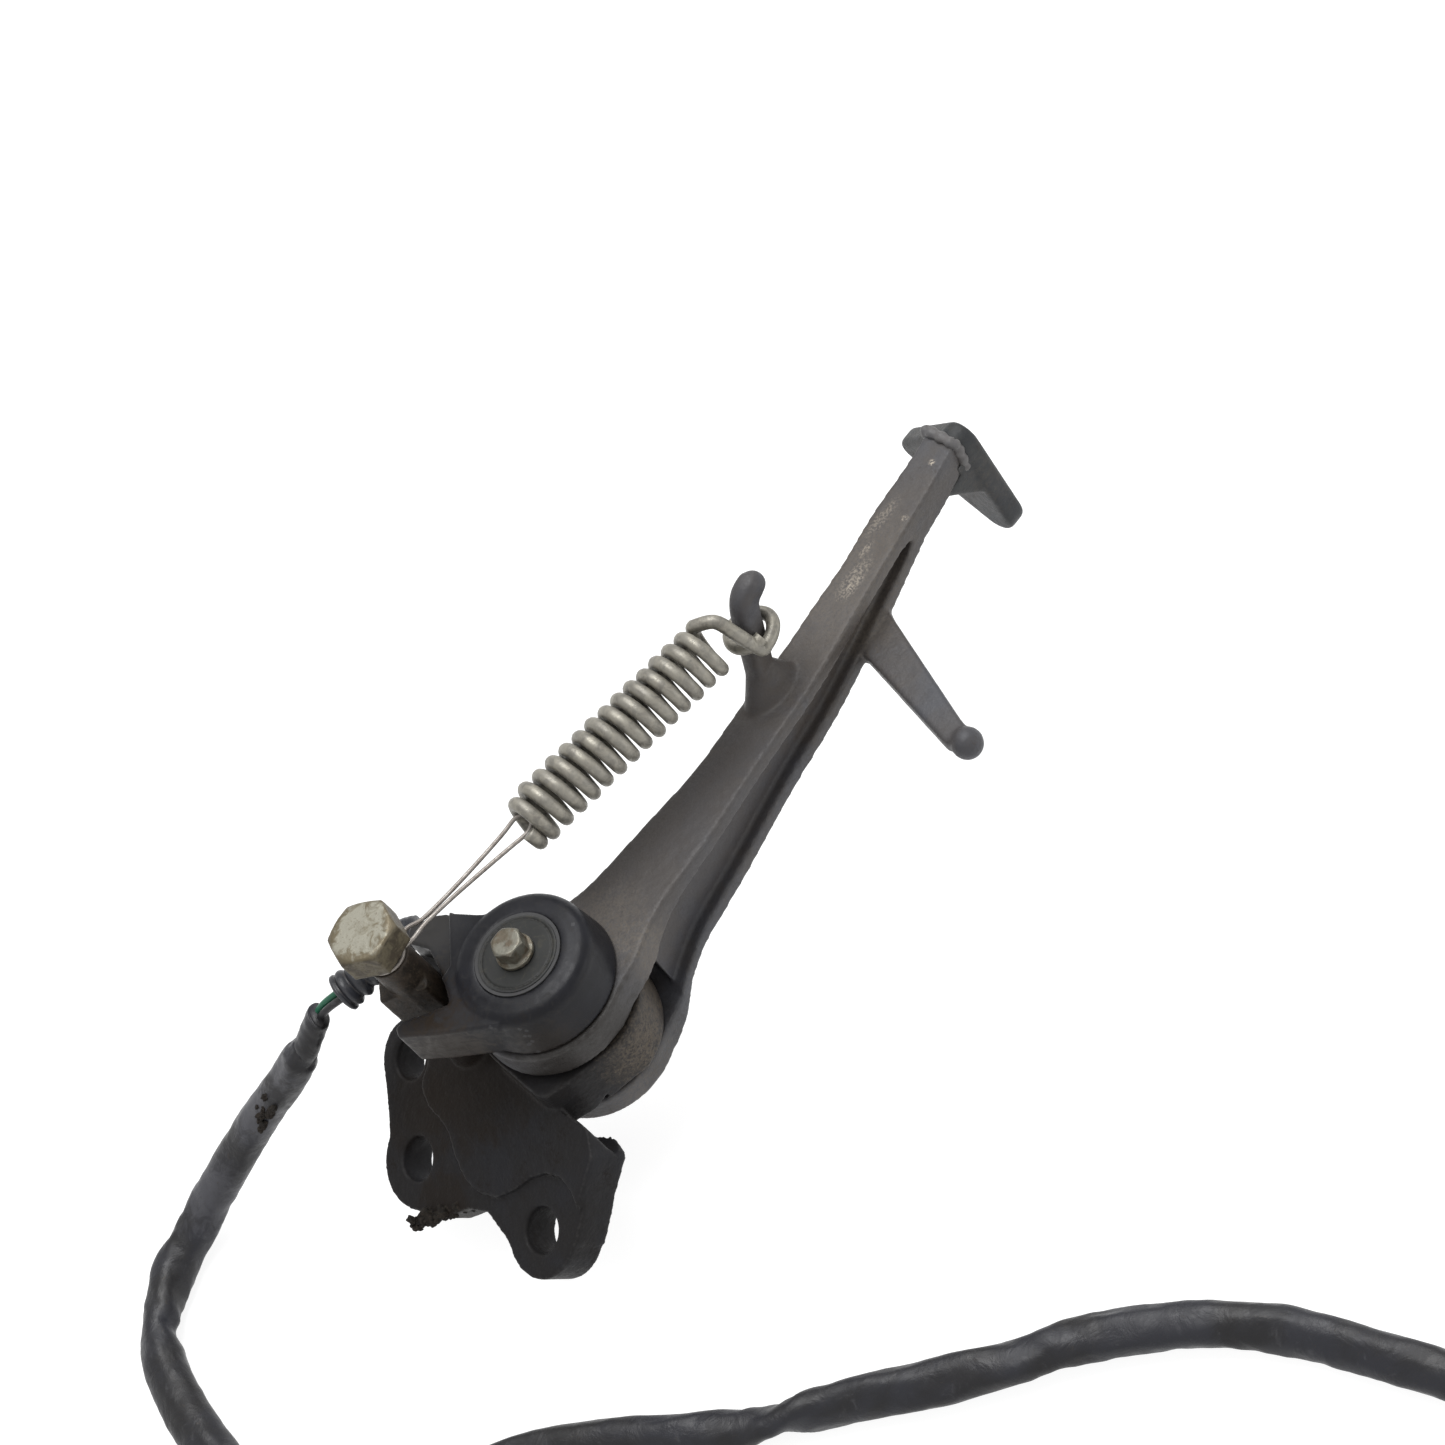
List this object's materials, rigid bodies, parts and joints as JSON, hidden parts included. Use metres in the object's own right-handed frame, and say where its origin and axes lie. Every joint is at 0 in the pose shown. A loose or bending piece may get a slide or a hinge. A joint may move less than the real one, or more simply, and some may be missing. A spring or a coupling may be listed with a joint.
{
  "type": "motorcycle side stand",
  "caption": "Forged side stand leg on a clevis pivot with foot plate, kick tang, coil return spring, cast frame bracket, rotary cut-off switch and cable harness.",
  "frame": {"origin": "centre of the lower frame bolt hole, on the bracket's mounting face", "axes": "+Z along the stand's pivot axis, outboard; +X from the pivot along the stowed leg to the foot; +Y towards the return spring"},
  "size_m": [0.3774, 0.3948, 0.1146],
  "materials": {
    "leg_paint": "worn satin black paint with rust",
    "bracket_paint": "worn satin black paint with dirt",
    "pivot_steel": "greasy",
    "bush_bronze": "dull bronze",
    "seal_rubber": "matt",
    "zinc_steel": "dull zinc",
    "switch_plastic": "smooth black",
    "rotor_plastic": "fine matt",
    "contact_brass": "plain",
    "spring_steel": "dirty grey-olive",
    "rusty_bolt_steel": "rusty",
    "pin_zinc": "dirty zinc",
    "boot_rubber": "matt",
    "sleeve_pvc": "soft sheen",
    "wire_green": "soft sheen",
    "wire_black": "soft sheen",
    "connector_plastic": "natural"
  },
  "bodies": {
    "bracket": {"side_stand_bracket": "bracket_paint", "pivot_bolt": "pivot_steel", "pivot_bush": "bush_bronze", "pivot_dust_seals": "seal_rubber", "pivot_washer": "zinc_steel", "pivot_locknut": "zinc_steel", "switch_housing": "switch_plastic", "switch_back_cover": "switch_plastic", "fixed_contacts": "contact_brass", "rotor_seal_ring": "seal_rubber", "switch_spacer": "pivot_steel", "switch_bolt": "rusty_bolt_steel", "spring_pin_bolt": "pin_zinc", "spring_pin_seat": "pin_zinc", "strain_relief_boot": "boot_rubber", "harness_cuff": "sleeve_pvc", "harness_sleeve": "sleeve_pvc", "harness_wire_green": "wire_green", "harness_wire_black": "wire_black", "connector_housing": "connector_plastic", "connector_terminals": "contact_brass"},
    "leg": {"stand_leg": "leg_paint", "foot_plate": "leg_paint", "switch_rotor": "rotor_plastic", "rotor_drive_pin": "pivot_steel", "moving_contact": "contact_brass", "contact_spring": "spring_steel"},
    "spring": {"return_spring": "spring_steel", "spring_link_wire": "spring_steel"}
  },
  "joints": [
    {"name": "stand_pivot", "type": "hinge", "parent": "bracket", "child": "leg", "pos_m": [0.04744, 0.02747, 0.02914], "axis": [0, 0, -1], "range_deg": [0, 105]},
    {"name": "spring_swing", "type": "hinge", "parent": "bracket", "child": "spring", "pos_m": [0.02444, 0.05357, 0.07914], "axis": [0, 0, -1], "range_deg": [0, 82.2]}
  ],
  "couplings": [
    {"joint": "spring_swing", "follows": "stand_pivot", "ratio": 0.781}
  ]
}
